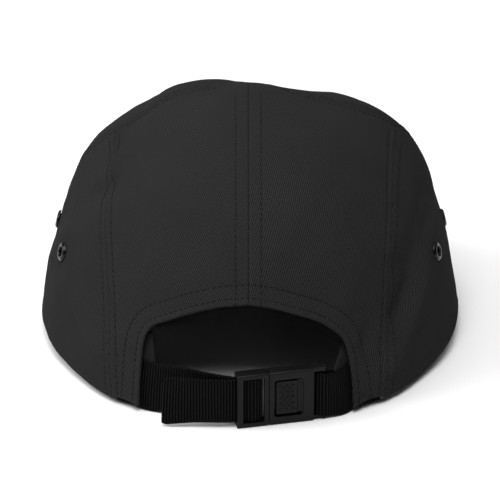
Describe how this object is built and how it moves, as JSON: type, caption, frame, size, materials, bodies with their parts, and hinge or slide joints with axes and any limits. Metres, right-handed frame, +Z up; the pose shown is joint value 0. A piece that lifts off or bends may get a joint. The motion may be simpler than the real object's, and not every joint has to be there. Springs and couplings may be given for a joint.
{
  "type": "five panel cap",
  "caption": "Soft black cap with a short curved brim, metal vent eyelets in its sides and a webbing strap with a side release buckle across the arched back opening.",
  "frame": {"origin": "middle of the underside of the whole cap's box, as the cap rests on a flat surface", "axes": "+Z up, -Y toward the brim, +Y toward the strap, +X toward the wearer's left"},
  "size_m": [0.1884, 0.274, 0.1077],
  "materials": {
    "twill": "washed black cotton twill",
    "webbing": "black woven webbing",
    "plastic": "matt black moulded plastic",
    "metal": "dark glossy metal"
  },
  "bodies": {
    "root": {"front_panel": "twill", "side_panel_left": "twill", "side_panel_right": "twill", "back_panel_left": "twill", "back_panel_right": "twill", "sweatband": "twill", "brim": "twill", "eyelet_left_rear": "metal", "eyelet_left_front": "metal", "eyelet_right_rear": "metal", "eyelet_right_front": "metal", "strap_left": "webbing", "strap_right": "webbing", "buckle_insert": "plastic", "buckle_socket": "plastic"}
  },
  "joints": []
}
